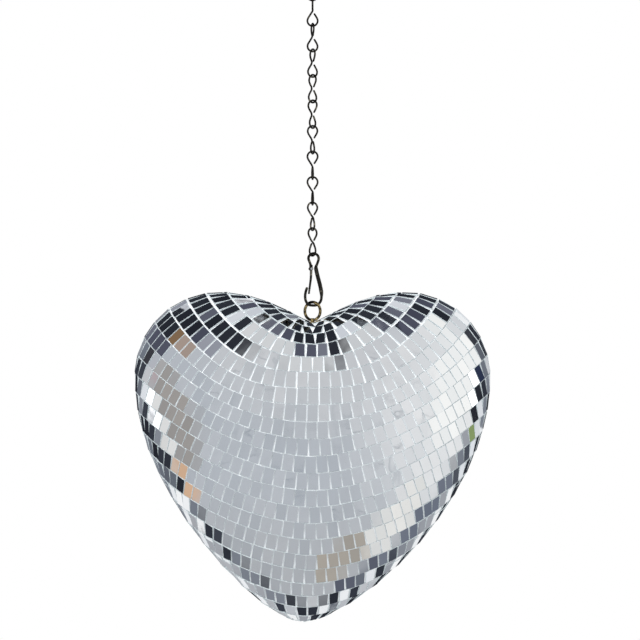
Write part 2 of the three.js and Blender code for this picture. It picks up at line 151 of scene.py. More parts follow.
class Sky:
    """Builds the room that the tiles mirror, as colours painted over directions."""

    def __init__(self, tree):
        self.tree = tree
        self.direction = tree.nodes.new("ShaderNodeTexCoord").outputs["Generated"]

    def add(self, kind):
        return self.tree.nodes.new(kind)

    def join(self, *pairs):
        link_nodes(self.tree, pairs)

    def mask(self, towards, start, full):
        """0 where the direction is start degrees or more from towards, 1 within full degrees of it."""
        dot = self.add("ShaderNodeVectorMath")
        dot.operation = "DOT_PRODUCT"
        dot.inputs[1].default_value = towards
        spread = self.add("ShaderNodeMapRange")
        spread.interpolation_type = "SMOOTHSTEP"
        spread.inputs["From Min"].default_value = math.cos(math.radians(start))
        spread.inputs["From Max"].default_value = math.cos(math.radians(full))
        self.join((self.direction, dot.inputs[0]), (dot.outputs["Value"], spread.inputs["Value"]))
        return spread.outputs["Result"]

    def lay(self, under, over, mask, strength=1.0):
        """One colour over another. Either is a socket or a plain colour."""
        node = self.add("ShaderNodeMix")
        node.data_type = "RGBA"
        scale = self.add("ShaderNodeMath")
        scale.operation = "MULTIPLY"
        scale.inputs[1].default_value = strength
        self.join((mask, scale.inputs[0]), (scale.outputs[0], node.inputs["Factor"]))
        for label, colour in (("A", under), ("B", over)):
            if isinstance(colour, tuple):
                node.inputs[label].default_value = (*colour, 1)
            else:
                self.join((colour, node.inputs[label]))
        return node.outputs["Result"]

    def slats(self, axis, count, thickness):
        """Thin joints between the panels of the room, so many of them for each unit along an axis."""
        split = self.add("ShaderNodeSeparateXYZ")
        spread, part = self.add("ShaderNodeMath"), self.add("ShaderNodeMath")
        spread.operation, part.operation = "MULTIPLY", "FRACT"
        spread.inputs[1].default_value = count
        edge = self.add("ShaderNodeMapRange")
        edge.inputs["From Max"].default_value = thickness
        edge.inputs["To Min"].default_value = 1
        edge.inputs["To Max"].default_value = 0
        self.join((self.direction, split.inputs[0]), (split.outputs[axis], spread.inputs[0]),
                  (spread.outputs[0], part.inputs[0]), (part.outputs[0], edge.inputs["Value"]))
        return edge.outputs["Result"]

    def clutter(self, scale, stops):
        """Random cells of the far side of the room, their colours spread over a ramp."""
        cells = self.add("ShaderNodeTexVoronoi")
        cells.inputs["Scale"].default_value = scale
        cells.inputs["Randomness"].default_value = 1.0
        split = self.add("ShaderNodeSeparateColor")
        ramp = self.add("ShaderNodeValToRGB")
        elements = ramp.color_ramp.elements
        while len(elements) < len(stops):
            elements.new(0.5)
        for element, (position, colour) in zip(elements, stops):
            element.position = position
            element.color = (*colour, 1)
        self.join((self.direction, cells.inputs["Vector"]), (cells.outputs["Color"], split.inputs[0]),
                  (split.outputs["Red"], ramp.inputs[0]))
        return ramp.outputs[0]


# The room that the tiles mirror. Each light has a colour, an azimuth and an elevation, and the degrees
# from there at which it starts and is full. A patch has one reach, and is full inside a share of it.
PALE_ROOM = (0.52, 0.545, 0.585)
ROOM_LIGHTS = [
    ((0.46, 0.475, 0.50), 0, -90, 75, 20),
    ((0.63, 0.64, 0.66), 10, 50, 55, 10),
    ((0.375, 0.352, 0.335), -70, 0, 24, 14),
    ((0.84, 0.845, 0.85), 75, 8, 68, 22),
    ((1.0, 1.0, 0.98), 78, 14, 32, 22),
]
LOW_LIGHTS = [
    ((0.86, 0.85, 0.82), 60, -42, 20, 15),
    ((0.42, 0.385, 0.34), 28, -57, 15, 11),
    ((0.86, 0.85, 0.83), -98, -10, 19, 14),
]

# Tones of the cells behind the room and on its ceiling, each with its place on the ramp
BEHIND_TONES = [
    (0.0, (0.02, 0.022, 0.03)), (0.42, (0.04, 0.045, 0.06)), (0.55, (0.20, 0.22, 0.26)),
    (0.72, (0.42, 0.43, 0.46)), (0.82, (0.85, 0.87, 0.9)), (1.0, (1.0, 1.0, 1.0)),
]
CEILING_TONES = [
    (0.0, (0.018, 0.02, 0.028)), (0.62, (0.03, 0.034, 0.045)), (0.72, (0.055, 0.058, 0.085)),
    (0.86, (0.10, 0.105, 0.145)), (0.93, (0.30, 0.31, 0.36)), (1.0, (0.72, 0.74, 0.78)),
]

PATCHES = [
    ((0.26, 0.16, 0.09), -72, 37, 7),
    ((0.85, 0.25, 0.25), -84, 12, 8),
    ((0.72, 0.47, 0.31), -88, -24, 8),
    ((0.95, 0.95, 0.93), 72, 52, 11),
    ((0.03, 0.04, 0.08), 104, 10, 7),
    ((0.05, 0.05, 0.06), -103, 22, 9),
    ((0.25, 0.33, 0.14), 112, -14, 6),
    ((0.42, 0.33, 0.28), -60, 38, 8),
    ((0.17, 0.19, 0.24), 107, -38, 15),
    ((0.12, 0.13, 0.17), 98, -62, 9),
    ((3.0, 3.0, 3.0), 94, 3, 7),
    ((2.4, 2.4, 2.4), -98, -8, 6),
    ((3.0, 3.0, 3.1), 176, 46, 6),
]
PATCH_EDGE = 0.8


def make_world():
    """White to the eye; in the tiles, a pale room in front and a dim, cluttered one behind and above."""
    world = bpy.data.worlds.new("studio")
    bpy.context.scene.world = world
    world.use_nodes = True
    world.node_tree.nodes.clear()
    sky = Sky(world.node_tree)

    room = PALE_ROOM
    for colour, azimuth, elevation, start, full in ROOM_LIGHTS:
        room = sky.lay(room, colour, sky.mask(heading(azimuth, elevation), start, full))
    panels = sky.lay(room, (0.22, 0.25, 0.29), sky.slats("Z", 22, 0.035), 0.8)
    panels = sky.lay(panels, (0.36, 0.40, 0.44), sky.slats("X", 17, 0.05), 0.7)
    room = sky.lay(room, panels, sky.mask(heading(5, 8), 50, 38))
    for colour, azimuth, elevation, start, full in LOW_LIGHTS:
        room = sky.lay(room, colour, sky.mask(heading(azimuth, elevation), start, full))
    room = sky.lay(room, sky.clutter(5.5, BEHIND_TONES), sky.mask(heading(180, -8), 84, 74))
    ceiling = sky.clutter(6.5, CEILING_TONES)
    room = sky.lay(room, ceiling, sky.mask(heading(-135, 70), 55, 51))
    room = sky.lay(room, ceiling, sky.mask(heading(-46, 52), 16, 13))
    room = sky.lay(room, (0.68, 0.69, 0.70), sky.mask(heading(6, 63), 12, 10))
    for colour, azimuth, elevation, reach in PATCHES:
        room = sky.lay(room, colour, sky.mask(heading(azimuth, elevation), reach, reach * PATCH_EDGE))

    seen = sky.add("ShaderNodeBackground")
    seen.inputs["Color"].default_value = (1, 1, 1, 1)
    reflected = sky.add("ShaderNodeBackground")
    path = sky.add("ShaderNodeLightPath")
    choose = sky.add("ShaderNodeMixShader")
    out = sky.add("ShaderNodeOutputWorld")
    sky.join(
        (room, reflected.inputs["Color"]),
        (path.outputs["Is Camera Ray"], choose.inputs[0]),
        (reflected.outputs[0], choose.inputs[1]),
        (seen.outputs[0], choose.inputs[2]),
        (choose.outputs[0], out.inputs["Surface"]),
    )


def make_lights():
    """Large soft boxes that light bed, cut edges and floor. Neither tiles nor metal mirror them."""
    boxes = [
        ("key_box", heading(-35, 40), 2.6, 1.6, 64),
        ("fill_box", heading(45, 5), 2.4, 1.6, 12),
        ("back_box", heading(170, 35), 2.6, 1.6, 60),
        ("low_box", heading(0, -50), 2.0, 1.2, 10),
    ]
    aim = Vector((0, 0, CLEFT_Z * MM - 0.1))
    for name, towards, distance, size, power in boxes:
        place = aim + towards * distance
        bpy.ops.object.light_add(type="AREA", location=place)
        light = bpy.context.object
        light.name = name
        light.data.shape = "RECTANGLE"
        light.data.size = size
        light.data.size_y = size
        light.data.energy = power
        light.visible_glossy = False
        light.rotation_euler = (aim - place).to_track_quat("-Z", "Y").to_euler()


def make_floor():
    """A plain pale floor, well below the hanging heart, that fades out towards its rim."""
    deselect_all()
    radius = 3.2
    bpy.ops.mesh.primitive_circle_add(vertices=96, radius=radius, fill_type="NGON",
                                      location=(0, 0, cad_box[0].z - 1.0))
    floor = bpy.context.object
    floor.name = "floor"
    floor.visible_glossy = False
    material, tree, shader = new_material("pale_floor", 0.0)
    shader.inputs["Base Color"].default_value = (0.86, 0.865, 0.87, 1)
    shader.inputs["Roughness"].default_value = 0.8
    shader.inputs["Emission Color"].default_value = (1, 1, 1, 1)
    shader.inputs["Emission Strength"].default_value = 0.25
    place = tree.nodes.new("ShaderNodeTexCoord")
    reach = tree.nodes.new("ShaderNodeVectorMath")
    reach.operation = "LENGTH"
    fade = tree.nodes.new("ShaderNodeMapRange")
    fade.interpolation_type = "SMOOTHSTEP"
    for label, value in (("From Min", 0.9), ("From Max", radius), ("To Min", 1.0), ("To Max", 0.0)):
        fade.inputs[label].default_value = value
    link_nodes(tree, [
        (place.outputs["Object"], reach.inputs[0]),
        (reach.outputs["Value"], fade.inputs["Value"]),
        (fade.outputs["Result"], shader.inputs["Alpha"]),
    ])
    floor.data.materials.append(material)


# ---------------------------------------------------------------- materials

def new_mask_group(name, inputs):
    """A shader node group with float inputs, each a name and a default, and a mask as its output."""
    group = bpy.data.node_groups.new(name, "ShaderNodeTree")
    for label, value in inputs:
        socket = group.interface.new_socket(label, in_out="INPUT", socket_type="NodeSocketFloat")
        socket.default_value = value
    group.interface.new_socket("Mask", in_out="OUTPUT", socket_type="NodeSocketFloat")
    entry = group.nodes.new("NodeGroupInput")
    leave = group.nodes.new("NodeGroupOutput")
    return group, entry, leave


def make_film_group():
    """Dust and finger film: a mask of soft blotches with fine specks, at a scale in 1/m."""
    inputs = [("Scale", 40.0), ("Speck Scale", 900.0), ("Amount", 0.5)]
    group, entry, leave = new_mask_group("film", inputs)
    add = group.nodes.new
    place = add("ShaderNodeTexCoord")
    blotch = add("ShaderNodeTexNoise")
    blotch.inputs["Detail"].default_value = 5
    speck = add("ShaderNodeTexNoise")
    speck.inputs["Detail"].default_value = 2
    soft = add("ShaderNodeMapRange")
    soft.inputs["From Min"].default_value = 0.42
    soft.inputs["From Max"].default_value = 0.75
    fine = add("ShaderNodeMapRange")
    fine.inputs["From Min"].default_value = 0.6
    fine.inputs["From Max"].default_value = 0.8
    both = add("ShaderNodeMath")
    both.operation = "MAXIMUM"
    scaled = add("ShaderNodeMath")
    scaled.operation = "MULTIPLY"
    link_nodes(group, [
        (place.outputs["Object"], blotch.inputs["Vector"]),
        (place.outputs["Object"], speck.inputs["Vector"]),
        (entry.outputs["Scale"], blotch.inputs["Scale"]),
        (entry.outputs["Speck Scale"], speck.inputs["Scale"]),
        (blotch.outputs["Fac"], soft.inputs["Value"]),
        (speck.outputs["Fac"], fine.inputs["Value"]),
        (soft.outputs["Result"], both.inputs[0]),
        (fine.outputs["Result"], both.inputs[1]),
        (both.outputs[0], scaled.inputs[0]),
        (entry.outputs["Amount"], scaled.inputs[1]),
        (scaled.outputs[0], leave.inputs["Mask"]),
    ])
    return group


def make_wear_and_highlight_group():
    """Patches for plated metal and cut glass: a mask, 0 where a metal takes its bright colour and 1
    where it is dull. On zinc the patches are worn plating; on the dark steel and brass the bright ones
    are painted highlights.
    """
    inputs = [("Scale", 300.0), ("Low", 0.4), ("High", 0.7)]
    group, entry, leave = new_mask_group("tarnish_and_highlight", inputs)
    add = group.nodes.new
    place = add("ShaderNodeTexCoord")
    noise = add("ShaderNodeTexNoise")
    noise.inputs["Detail"].default_value = 6
    noise.inputs["Roughness"].default_value = 0.62
    spread = add("ShaderNodeMapRange")
    link_nodes(group, [
        (place.outputs["Object"], noise.inputs["Vector"]),
        (entry.outputs["Scale"], noise.inputs["Scale"]),
        (noise.outputs["Fac"], spread.inputs["Value"]),
        (entry.outputs["Low"], spread.inputs["From Min"]),
        (entry.outputs["High"], spread.inputs["From Max"]),
        (spread.outputs["Result"], leave.inputs["Mask"]),
    ])
    return group


def put_group(tree, group, **values):
    node = tree.nodes.new("ShaderNodeGroup")
    node.node_tree = group
    for label, value in values.items():
        node.inputs[label.replace("_", " ")].default_value = value
    return node


def new_material(name, metallic):
    material = bpy.data.materials.new(name)
    material.use_nodes = True
    tree = material.node_tree
    shader = tree.nodes["Principled BSDF"]
    shader.inputs["Metallic"].default_value = metallic
    return material, tree, shader


def mix_colour(tree, mask, low, high, target):
    node = tree.nodes.new("ShaderNodeMix")
    node.data_type = "RGBA"
    node.inputs["A"].default_value = (*low, 1)
    node.inputs["B"].default_value = (*high, 1)
    link_nodes(tree, [(mask, node.inputs["Factor"]), (node.outputs["Result"], target)])
    return node


def map_value(tree, mask, low, high, target):
    node = tree.nodes.new("ShaderNodeMapRange")
    node.inputs["To Min"].default_value = low
    node.inputs["To Max"].default_value = high
    link_nodes(tree, [(mask, node.inputs["Value"]), (node.outputs["Result"], target)])


def add_bump(tree, shader, scale, depth, detail=3):
    """Fine unevenness of a surface: noise of a scale in 1/m and a depth in metres."""
    place = tree.nodes.new("ShaderNodeTexCoord")
    noise = tree.nodes.new("ShaderNodeTexNoise")
    noise.inputs["Scale"].default_value = scale
    noise.inputs["Detail"].default_value = detail
    bump = tree.nodes.new("ShaderNodeBump")
    bump.inputs["Distance"].default_value = depth
    link_nodes(tree, [
        (place.outputs["Object"], noise.inputs["Vector"]),
        (noise.outputs["Fac"], bump.inputs["Height"]),
        (bump.outputs["Normal"], shader.inputs["Normal"]),
    ])


def mirror_material(film):
    """Silvered float glass: nearly flat, with a faint film, each tile a shade of its own."""
    material, tree, shader = new_material("silvered_glass", 1.0)
    own = tree.nodes.new("ShaderNodeAttribute")
    own.attribute_name = "tile"
    dust = put_group(tree, film, Scale=55.0, Speck_Scale=1600.0, Amount=0.6)
    thin = tree.nodes.new("ShaderNodeMath")
    thin.operation = "MULTIPLY"
    thin.inputs[1].default_value = 0.35
    link_nodes(tree, [(dust.outputs["Mask"], thin.inputs[0])])
    silver = (0.80, 0.825, 0.85)
    filmed = mix_colour(tree, thin.outputs[0], silver, (0.74, 0.75, 0.76), shader.inputs["Base Color"])
    mix_colour(tree, own.outputs["Fac"], silver, (0.93, 0.94, 0.95), filmed.inputs["A"])
    map_value(tree, dust.outputs["Mask"], 0.015, 0.11, shader.inputs["Roughness"])
    add_bump(tree, shader, 85.0, 0.00002, 1)
    return material


def glass_edge_material(wear_and_highlight):
    """Cut edges of the glass: pale grey-green, with a rough fracture."""
    material, tree, shader = new_material("cut_glass_edge", 0.0)
    noise = put_group(tree, wear_and_highlight, Scale=900.0, Low=0.35, High=0.7)
    mix_colour(tree, noise.outputs["Mask"], (0.45, 0.51, 0.53), (0.80, 0.85, 0.86),
               shader.inputs["Base Color"])
    map_value(tree, noise.outputs["Mask"], 0.12, 0.35, shader.inputs["Roughness"])
    add_bump(tree, shader, 1800.0, 0.0001)
    return material


def bed_material(film):
    """White adhesive that shows between the tiles."""
    material, tree, shader = new_material("white_bed", 0.0)
    dust = put_group(tree, film, Scale=120.0, Speck_Scale=2500.0, Amount=1.0)
    mix_colour(tree, dust.outputs["Mask"], (0.90, 0.91, 0.92), (0.70, 0.72, 0.74),
               shader.inputs["Base Color"])
    map_value(tree, dust.outputs["Mask"], 0.45, 0.75, shader.inputs["Roughness"])
    add_bump(tree, shader, 700.0, 0.0002)
    return material


def shell_material(film):
    """Matt white moulded plastic of the core."""
    material, tree, shader = new_material("moulded_white_plastic", 0.0)
    dust = put_group(tree, film, Scale=25.0, Speck_Scale=1200.0, Amount=0.8)
    mix_colour(tree, dust.outputs["Mask"], (0.84, 0.85, 0.85), (0.72, 0.72, 0.71),
               shader.inputs["Base Color"])
    map_value(tree, dust.outputs["Mask"], 0.45, 0.7, shader.inputs["Roughness"])
    add_bump(tree, shader, 1500.0, 0.00008)
    return material


def metal_material(name, wear_and_highlight, fresh_and_highlight, dull, smooth, rough, scale, share=0.4):
    """Plated wire or sheet: a bright colour in noise patches over a dull one, a roughness for each, and
    how strong the noise is where the dull colour starts, so a low share is a duller piece. On zinc the
    bright patches are worn plating; on the dark steel and brass they are painted highlights on a
    near-black base."""
    material, tree, shader = new_material(name, 1.0)
    # On the dark steel and brass, the bright patches where this mask is near 0 are painted highlights.
    mask = put_group(tree, wear_and_highlight, Scale=scale, Low=share, High=share + 0.2)
    mix_colour(tree, mask.outputs["Mask"], fresh_and_highlight, dull, shader.inputs["Base Color"])
    map_value(tree, mask.outputs["Mask"], smooth, rough, shader.inputs["Roughness"])
    add_bump(tree, shader, scale * 6, 0.00002)
    return material


# ---------------------------------------------------------------- the heart's surface

def cubic(points, count):
    t = np.linspace(0, 1, count)[:, None]
    a, b, c, d = (np.array(p, float) for p in points)
    return a * (1 - t) ** 3 + 3 * b * t * (1 - t) ** 2 + 3 * c * t ** 2 * (1 - t) + d * t ** 3


def make_outline():
    """Half of the outline, from the cleft over a lobe to the tip, with its running length."""
    parts = [cubic(curve, count)[1:] for curve, count in OUTLINE_CURVES]
    points = np.vstack([OUTLINE_CURVES[0][0][0]] + parts)
    steps = np.linalg.norm(np.diff(points, axis=0), axis=1)
    return points, np.concatenate([[0], np.cumsum(steps)])


OUTLINE, OUTLINE_RUN = make_outline()
OUTLINE_ANGLE = np.arctan2(OUTLINE[:, 1] - CENTRE_Z, OUTLINE[:, 0])[::-1]
OUTLINE_RADIUS = np.hypot(OUTLINE[:, 0], OUTLINE[:, 1] - CENTRE_Z)[::-1]


def contour(x, z):
    """0 at the thickest place and 1 on the outline: inner contours are ovals, outer ones hearts."""
    dz = z - CENTRE_Z
    r = np.hypot(x, dz)
    angle = np.arctan2(dz, np.abs(x))
    puff = np.where(dz > 0, PUFF_TOP, PUFF_BOTTOM)
    oval = HALF_WIDTH * puff / np.hypot(puff * np.cos(angle), HALF_WIDTH * np.sin(angle))
    edge = np.interp(angle, OUTLINE_ANGLE, OUTLINE_RADIUS)
    t = r / edge
    for _ in range(12):
        t = t - (t * (oval + (edge - oval) * t * t) - r) / (oval + 3 * (edge - oval) * t * t)
    return t


def depth_at(x, z):
    return HALF_DEPTH * np.sqrt(np.maximum(0, 1 - contour(x, z) ** 2))


def make_middle():
    """Heights down the front's middle line, and the running length along the surface there."""
    z = TIP_Z * (1 - np.cos(np.linspace(0, math.pi, 2001))) / 2
    y = depth_at(np.zeros_like(z), z)
    return z, np.concatenate([[0], np.cumsum(np.hypot(np.diff(z), np.diff(y)))])


MIDDLE_Z, MIDDLE_RUN = make_middle()


def surface(fraction, turn, inset=0.0):
    """Points and normals on the heart. fraction runs from cleft to tip, turn goes round a row:
    -90 degrees is the left edge, 0 the front and 90 the right edge."""
    c, turn = np.broadcast_arrays(np.clip(fraction, 0, 1), turn)
    end_run = (c - END_LIFT * np.sin(math.pi * c ** END_LIFT_SKEW) ** 2) * OUTLINE_RUN[-1]
    end_x = np.interp(end_run, OUTLINE_RUN, OUTLINE[:, 0])
    end_z = np.interp(end_run, OUTLINE_RUN, OUTLINE[:, 1])
    low = np.interp(c * MIDDLE_RUN[-1], MIDDLE_RUN, MIDDLE_Z)
    bend = ROW_POWER + LOBE_POWER * np.exp(-(((c - LOBE_CENTRE) / LOBE_SPREAD) ** 2))
    u = np.sin(turn)
    x = end_x * u
    z = low + (end_z - low) * np.abs(u) ** bend
    facing = np.where(np.abs(np.cos(turn)) < 1e-9, 0.0, np.sign(np.cos(turn)))
    y = -facing * depth_at(x, z)
    step = 0.05
    t = contour(x, z)
    normal = np.stack([
        t * (contour(x + step, z) - contour(x - step, z)) / (2 * step),
        y / HALF_DEPTH ** 2,
        t * (contour(x, z + step) - contour(x, z - step)) / (2 * step),
    ], axis=-1)
    normal /= np.linalg.norm(normal, axis=-1, keepdims=True)
    point = np.stack([x, y, z], axis=-1) - inset * normal
    point[..., 0] += TIP_LEAN * np.maximum(0, z / TIP_Z) ** 6
    return point, normal


# ---------------------------------------------------------------- modelling helpers

def deselect_all():
    bpy.ops.object.select_all(action="DESELECT")


def pick(obj):
    """Select this piece alone and make it the active one."""
    deselect_all()
    obj.select_set(True)
    bpy.context.view_layer.objects.active = obj


def edit_mode(obj):
    pick(obj)
    bpy.ops.object.mode_set(mode="EDIT")
    bpy.ops.mesh.select_all(action="DESELECT")
    return bmesh.from_edit_mesh(obj.data)


def object_mode():
    bpy.ops.object.mode_set(mode="OBJECT")


def settle(obj):
    """Apply the object's place, turn and size to its mesh."""
    pick(obj)
    bpy.ops.object.transform_apply(location=True, rotation=True, scale=True)


def apply_modifiers(obj):
    pick(obj)
    for modifier in list(obj.modifiers):
        bpy.ops.object.modifier_apply(modifier=modifier.name)


def smooth(obj, degrees):
    pick(obj)
    bpy.ops.object.shade_smooth_by_angle(angle=math.radians(degrees))


def face_outward(obj):
    edit_mode(obj)
    bpy.ops.mesh.select_all(action="SELECT")
    bpy.ops.mesh.normals_make_consistent(inside=False)
    object_mode()


def join(name, parts):
    deselect_all()
    for part in parts:
        part.select_set(True)
    bpy.context.view_layer.objects.active = parts[0]
    bpy.ops.object.join()
    parts[0].name = name
    return parts[0]


def finish_piece(obj, name, material, body, slot, *nodes):
    obj.name = name
    obj.data.materials.clear()
    obj.data.materials.append(material)
    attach(obj, body)
    if nodes:
        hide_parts(*nodes)


# ---------------------------------------------------------------- mirror tiles

def model_tile():
    """One tile, its glass face at z = 0, from a cube with a fine bevel round the face."""
    deselect_all()
    bpy.ops.mesh.primitive_cube_add(size=1, location=(0, 0, -TILE_THICK / 2),
                                    scale=(TILE_WIDTH, TILE_HEIGHT, TILE_THICK))
    tile = bpy.context.object
    settle(tile)
    bm = edit_mode(tile)
    for edge in bm.edges:
        edge.select = all(abs(v.co.z) < 1e-6 for v in edge.verts)
    bmesh.update_edit_mesh(tile.data)
    bpy.ops.mesh.bevel(offset=TILE_BEVEL, segments=1)
    object_mode()
    verts = np.array([v.co[:] for v in tile.data.vertices])
    faces = [list(p.vertices) for p in tile.data.polygons]
    is_mirror = [p.normal.z > 0.99 for p in tile.data.polygons]
    bpy.data.objects.remove(tile)
    return verts, faces, is_mirror


def place_tile(verts, centre, across, up, out, widths, height):
    """The tile's corners moved out to its own widths (at its foot and head) and height."""
    x, y, z = verts.T
    share = np.clip(y / TILE_HEIGHT + 0.5, 0, 1)
    width = widths[0] + (widths[1] - widths[0]) * share
    sx = np.sign(x) * (width / 2 - (TILE_WIDTH / 2 - np.abs(x)))
    sy = np.sign(y) * (height / 2 - (TILE_HEIGHT / 2 - np.abs(y)))
    return centre + np.outer(sx, across) + np.outer(sy, up) + np.outer(z, out)


def jittered(across, up, out, draw):
    """A tile set by hand: tipped and turned by a degree or so."""
    spreads = (TIP_SPREAD, TIP_SPREAD, TURN_SPREAD)
    a, b, c = (draw.gauss(0, math.radians(spread)) for spread in spreads)
    out = out + a * across + b * up
    out = out / np.linalg.norm(out)
    across = across + c * up
    across = across - out * across.dot(out)
    across = across / np.linalg.norm(across)
    return across, np.cross(out, across), out


def row_tiles(row, draw):
    """For each place of a row: its centre, its axes, how far the row reaches below and above it, and
    the widths there."""
    turns = np.linspace(-math.pi / 2, 1.5 * math.pi, 721)
    first = FIRST_ROW_HEAD if row == 0 else row
    lines = [first / ROWS, (first + row + 1) / 2 / ROWS, (row + 1) / ROWS]
    top, middle, foot = (surface(f, turns)[0] for f in lines)
    if row == ROWS - 1:
        middle = surface((row + TIP_ROW_MIDDLE) / ROWS, turns)[0]
    normals = surface(lines[1], turns)[1]
    run = np.concatenate([[0], np.cumsum(np.linalg.norm(np.diff(middle, axis=0), axis=1))])
    tiles = max(3, round(run[-1] / TILE_PITCH))
    pitch = run[-1] / tiles
    start = draw.random() * pitch

    def at(curve, place):
        return np.array([np.interp(place % run[-1], run, curve[:, i]) for i in range(3)])

    made = []
    for k in range(tiles):
        s = (start + k * pitch) % run[-1]
        before, after = s - pitch / 2, s + pitch / 2
        out = at(normals, s)
        out /= np.linalg.norm(out)
        across = at(middle, after) - at(middle, before)
        across -= out * across.dot(out)
        across /= np.linalg.norm(across)
        up = np.cross(out, across)
        high = (at(top, s) - at(middle, s)).dot(up)
        low = (at(foot, s) - at(middle, s)).dot(up)
        span = [np.linalg.norm(at(curve, after) - at(curve, before)) for curve in (foot, top)]
        made.append((at(middle, s), across, up, out, low, high, span))
    return made


def row_gaps(row):
    """The gap between a row's tiles and the one to the next row, both wider round the cleft."""
    share = max(0.0, 1 - row / OPEN_ROWS)
    return TILE_GAP + OPEN_TILE_GAP * share, ROW_GAP + OPEN_ROW_GAP * share


def cut_heights(low, high, row_gap):
    """The stretches of a row's height that its tiles fill: one tile, or a full one and a cut one."""
    room = high - low
    if room <= TALLEST_TILE + WIDEST_GAP:
        gap = max(row_gap, room - TALLEST_TILE)
        return [(low + gap / 2, high - gap / 2)]
    split = low + TILE_HEIGHT + row_gap
    return [(low + row_gap / 2, split - row_gap / 2), (split + row_gap / 2, high - row_gap / 2)]


def model_bed(row):
    """The white bed under a row: a circle extruded to a band, laid on the surface and thickened."""
    deselect_all()
    tip = row == ROWS - 1
    bpy.ops.mesh.primitive_circle_add(vertices=BED_STEPS, radius=1,
                                      fill_type="TRIFAN" if tip else "NOTHING")
    bed = bpy.context.object
    if not tip:
        edit_mode(bed)
        bpy.ops.mesh.select_all(action="SELECT")
        bpy.ops.mesh.extrude_edges_move(TRANSFORM_OT_translate={"value": (0, 0, -1)})
        object_mode()
    head = (FIRST_ROW_HEAD if row == 0 else row) / ROWS
    foot = (row + 1) / ROWS
    for vertex in bed.data.vertices:
        x, y, z = vertex.co
        lower = z < -0.5 or math.hypot(x, y) < 0.5
        vertex.co = surface(foot if lower else head, math.atan2(x, -y), BED_DEPTH)[0]
    outward = surface((head + foot) / 2, 0.0)[1]
    front = min(bed.data.polygons, key=lambda p: p.center.y)
    if front.normal.dot(Vector(outward)) < 0:
        edit_mode(bed)
        bpy.ops.mesh.select_all(action="SELECT")
        bpy.ops.mesh.flip_normals()
        object_mode()
    thicken = bed.modifiers.new("bed", "SOLIDIFY")
    thicken.thickness = BED_THICK
    thicken.offset = -1
    apply_modifiers(bed)
    face_outward(bed)
    verts = np.array([v.co[:] for v in bed.data.vertices])
    faces = [list(p.vertices) for p in bed.data.polygons]
    bpy.data.objects.remove(bed)
    return verts, faces


def build_row(row, tile, materials):
    """One ring of tiles on its bed, as one mesh. The materials are for faces, edges and bed."""
    draw = random.Random(1000 + row)
    tile_verts, tile_faces, is_mirror = tile
    verts, faces = model_bed(row)
    all_verts = [verts]
    all_faces = list(faces)
    slots = [2] * len(faces)
    shades = [0.5] * len(verts)
    count = len(verts)
    tile_gap, row_gap = row_gaps(row)
    for centre, across, up, out, low, high, span in row_tiles(row, draw):
        for foot, head in cut_heights(low, high, row_gap):
            height = head - foot
            if height < LOWEST_CUT:
                continue
            shares = [(foot - low) / (high - low), (head - low) / (high - low)]
            widths = [min(TILE_PITCH - tile_gap, span[0] + (span[1] - span[0]) * s - tile_gap * 0.8)
                      for s in shares]
            widths = [max(width, NARROWEST_CUT) for width in widths]
            side, rise, face = jittered(across, up, out, draw)
            place = centre + rise * ((foot + head) / 2 + draw.gauss(0, RISE_SPREAD))
            place = place + side * draw.gauss(0, SIDE_SPREAD)
            place = place + face * (draw.uniform(-PROUD_SPREAD, PROUD_SPREAD) - PROUD_SPREAD)
            all_verts.append(place_tile(tile_verts, place, side, rise, face, widths, height))
            all_faces += [[count + i for i in f] for f in tile_faces]
            slots += [0 if m else 1 for m in is_mirror]
            shades += [draw.random()] * len(tile_verts)
            count += len(tile_verts)
    points = np.vstack(all_verts)
    points[:, 2] += CLEFT_Z
    mesh = bpy.data.meshes.new(f"tile_row_{row + 1:02d}")
    mesh.from_pydata((points * MM).tolist(), [], all_faces)
    mesh.update()
    for material in materials:
        mesh.materials.append(material)
    mesh.polygons.foreach_set("material_index", slots)
    own = mesh.attributes.new("tile", "FLOAT", "POINT")
    own.data.foreach_set("value", shades)
    obj = bpy.data.objects.new(mesh.name, mesh)
    bpy.context.collection.objects.link(obj)
    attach(obj, "heart")
    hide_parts(f"mirror_row_{row + 1:02d}")


# ---------------------------------------------------------------- bent wire

WIRE_PLAY = 0.15


def blend(p, q, t, low, high):
    return ((high - t) * p + (t - low) * q) / (high - low)


def smooth_path(points, steps):
    """A centripetal Catmull-Rom curve through the points, with so many steps on each stretch."""
    p = np.array(points, float)
    p = np.vstack([2 * p[0] - p[1], p, 2 * p[-1] - p[-2]])
    made = []
    for p0, p1, p2, p3 in zip(p, p[1:], p[2:], p[3:]):
        t0 = 0.0
        t1 = t0 + math.sqrt(np.linalg.norm(p1 - p0))
        t2 = t1 + math.sqrt(np.linalg.norm(p2 - p1))
        t3 = t2 + math.sqrt(np.linalg.norm(p3 - p2))
        for t in np.linspace(t1, t2, steps, endpoint=False):
            a1 = blend(p0, p1, t, t0, t1)
            a2 = blend(p1, p2, t, t1, t2)
            a3 = blend(p2, p3, t, t2, t3)
            made.append(blend(blend(a1, a2, t, t0, t2), blend(a2, a3, t, t1, t3), t, t1, t2))
    made.append(p[-2])
    return np.array(made)


def arc(centre_x, centre_z, radius, start, end, step=30):
    """Points on an arc in the XZ plane, clockwise from start to end, with its angles in degrees."""
    angles = [math.radians(a) for a in range(start, end - 1, -step)]
    return [(centre_x + radius * math.cos(a), 0, centre_z + radius * math.sin(a)) for a in angles]


